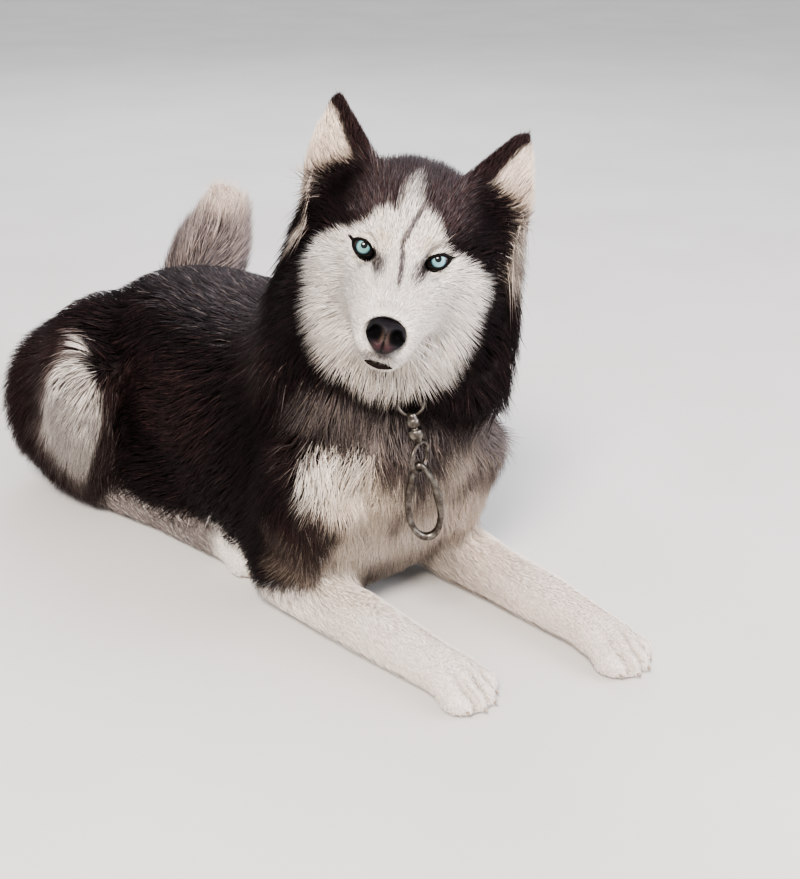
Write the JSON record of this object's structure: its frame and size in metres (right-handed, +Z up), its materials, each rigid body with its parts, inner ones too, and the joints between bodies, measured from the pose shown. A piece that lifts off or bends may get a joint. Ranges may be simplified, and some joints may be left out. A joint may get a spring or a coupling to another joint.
{
  "type": "siberian husky, still life-size model",
  "caption": "A life-size siberian husky lying with its forelegs stretched out and its head turned, parted into its named body parts, with a collar, swivel, ring and snap link.",
  "frame": {"origin": "on the floor, at the bottom centre of the model's box", "axes": "+Z up, the trunk faces -Y, and the dog's left is +X"},
  "size_m": [0.3976, 0.8934, 0.5666],
  "materials": {
    "dark_coat": "long double coat, black with grey underwool",
    "pale_coat": "dense white and cream coat",
    "ear_fur": "short velvet fur with a pale inside",
    "nose_leather": "moist pebbled skin",
    "lip_skin": "smooth dark skin of lips and eyelids",
    "eye": "wet, ice-blue iris with a small pupil",
    "claw": "smooth horn",
    "whisker": "stiff dark hair",
    "black_webbing": "woven strap",
    "worn_steel": "worn, slightly brown steel wire"
  },
  "bodies": {
    "root": {"trunk": "dark_coat", "chest": "dark_coat", "neck": "dark_coat", "head": "dark_coat", "tail": "dark_coat", "thigh_left": "dark_coat", "thigh_right": "dark_coat", "upper_arm_left": "dark_coat", "upper_arm_right": "dark_coat", "muzzle": "pale_coat", "lower_jaw": "pale_coat", "forearm_left": "pale_coat", "forearm_right": "pale_coat", "forepaw_left": "pale_coat", "forepaw_right": "pale_coat", "shank_left": "pale_coat", "shank_right": "pale_coat", "hind_pastern_left": "pale_coat", "hind_pastern_right": "pale_coat", "hindpaw_left": "pale_coat", "hindpaw_right": "pale_coat", "ear_left": "ear_fur", "ear_right": "ear_fur", "eye_left": "eye", "eye_right": "eye", "nose": "nose_leather", "collar_strap": "black_webbing", "collar_ring": "worn_steel", "swivel": "worn_steel", "hanging_ring": "worn_steel", "snap_link": "worn_steel"}
  },
  "joints": []
}
